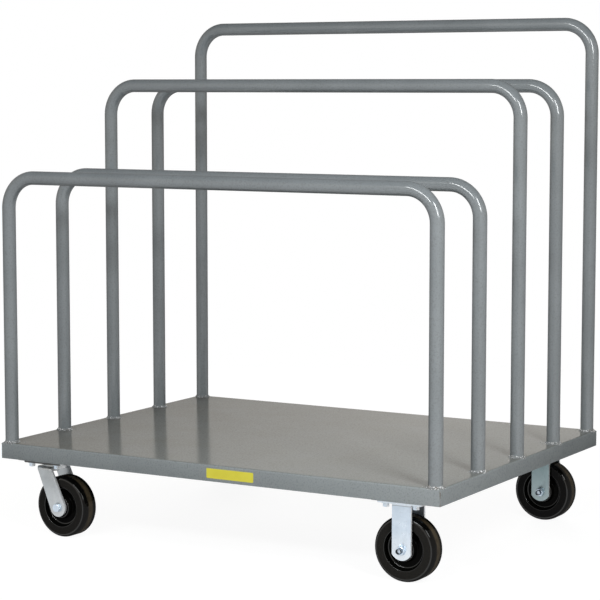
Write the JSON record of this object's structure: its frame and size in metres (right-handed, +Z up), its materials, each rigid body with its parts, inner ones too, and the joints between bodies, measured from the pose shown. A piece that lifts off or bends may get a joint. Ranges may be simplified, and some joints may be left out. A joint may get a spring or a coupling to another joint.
{
  "type": "panel truck",
  "caption": "Steel platform truck for panels: flat deck with turned-down lips, welded pipe-hoop dividers rising from front to rear, rigid and swivel casters.",
  "frame": {"origin": "on the floor under the middle of the deck", "axes": "+X along the deck to the rigid casters, +Y from the low dividers to the tall one, +Z up"},
  "size_m": [1.2192, 0.9321, 1.2897],
  "materials": {
    "grey_paint": "semi-gloss grey baked paint",
    "painted_weld": "weld bead under semi-gloss grey paint",
    "yellow_label": "plain yellow vinyl, satin",
    "zinc_steel": "bright zinc plate",
    "bearing_steel": "ground steel, oiled",
    "black_phenolic": "moulded black phenolic, low gloss"
  },
  "bodies": {
    "truck_frame": {"deck_pan": "grey_paint", "deck_corner_welds": "painted_weld", "blank_label": "yellow_label", "divider_welds": "painted_weld", "left_caster_channel": "grey_paint", "right_caster_channel": "grey_paint", "centre_stiffener": "grey_paint", "caster_bolts": "zinc_steel", "caster_washers": "zinc_steel", "caster_nuts": "zinc_steel", "front_low_divider": "grey_paint", "second_low_divider": "grey_paint", "third_middle_divider": "grey_paint", "fourth_middle_divider": "grey_paint", "rear_tall_divider": "grey_paint", "front_rigid_fork": "zinc_steel", "front_rigid_axle_bushing": "bearing_steel", "front_rigid_axle_bolt": "zinc_steel", "front_rigid_axle_nut": "zinc_steel", "front_swivel_plate": "zinc_steel", "front_kingpin": "zinc_steel", "front_kingpin_nut": "zinc_steel", "rear_rigid_fork": "zinc_steel", "rear_rigid_axle_bushing": "bearing_steel", "rear_rigid_axle_bolt": "zinc_steel", "rear_rigid_axle_nut": "zinc_steel", "rear_swivel_plate": "zinc_steel", "rear_kingpin": "zinc_steel", "rear_kingpin_nut": "zinc_steel"},
    "front_swivel_yoke": {"front_swivel_fork": "zinc_steel", "front_swivel_balls": "bearing_steel", "front_swivel_axle_bushing": "bearing_steel", "front_swivel_axle_bolt": "zinc_steel", "front_swivel_axle_nut": "zinc_steel"},
    "front_swivel_wheel_set": {"front_swivel_wheel": "black_phenolic", "front_swivel_wheel_bearing": "bearing_steel", "front_swivel_hub_washers": "zinc_steel"},
    "front_rigid_wheel_set": {"front_rigid_wheel": "black_phenolic", "front_rigid_wheel_bearing": "bearing_steel", "front_rigid_hub_washers": "zinc_steel"},
    "rear_swivel_yoke": {"rear_swivel_fork": "zinc_steel", "rear_swivel_balls": "bearing_steel", "rear_swivel_axle_bushing": "bearing_steel", "rear_swivel_axle_bolt": "zinc_steel", "rear_swivel_axle_nut": "zinc_steel"},
    "rear_swivel_wheel_set": {"rear_swivel_wheel": "black_phenolic", "rear_swivel_wheel_bearing": "bearing_steel", "rear_swivel_hub_washers": "zinc_steel"},
    "rear_rigid_wheel_set": {"rear_rigid_wheel": "black_phenolic", "rear_rigid_wheel_bearing": "bearing_steel", "rear_rigid_hub_washers": "zinc_steel"}
  },
  "joints": [
    {"name": "front_swivel_turn", "type": "hinge", "parent": "truck_frame", "child": "front_swivel_yoke", "pos_m": [-0.4976, -0.3905, 0.18], "axis": [0, 0, 1], "continuous": true},
    {"name": "front_swivel_wheel_spin", "type": "hinge", "parent": "front_swivel_yoke", "child": "front_swivel_wheel_set", "pos_m": [-0.45706, -0.39263, 0.0762], "axis": [0.0523, 0.9986, 0], "continuous": true},
    {"name": "front_rigid_wheel_spin", "type": "hinge", "parent": "truck_frame", "child": "front_rigid_wheel_set", "pos_m": [0.4976, -0.3905, 0.0762], "axis": [0, 1, 0], "continuous": true},
    {"name": "rear_swivel_turn", "type": "hinge", "parent": "truck_frame", "child": "rear_swivel_yoke", "pos_m": [-0.4976, 0.3905, 0.18], "axis": [0, 0, 1], "continuous": true},
    {"name": "rear_swivel_wheel_spin", "type": "hinge", "parent": "rear_swivel_yoke", "child": "rear_swivel_wheel_set", "pos_m": [-0.46434, 0.41379, 0.0762], "axis": [-0.5736, 0.8192, 0], "continuous": true},
    {"name": "rear_rigid_wheel_spin", "type": "hinge", "parent": "truck_frame", "child": "rear_rigid_wheel_set", "pos_m": [0.4976, 0.3905, 0.0762], "axis": [0, 1, 0], "continuous": true}
  ]
}
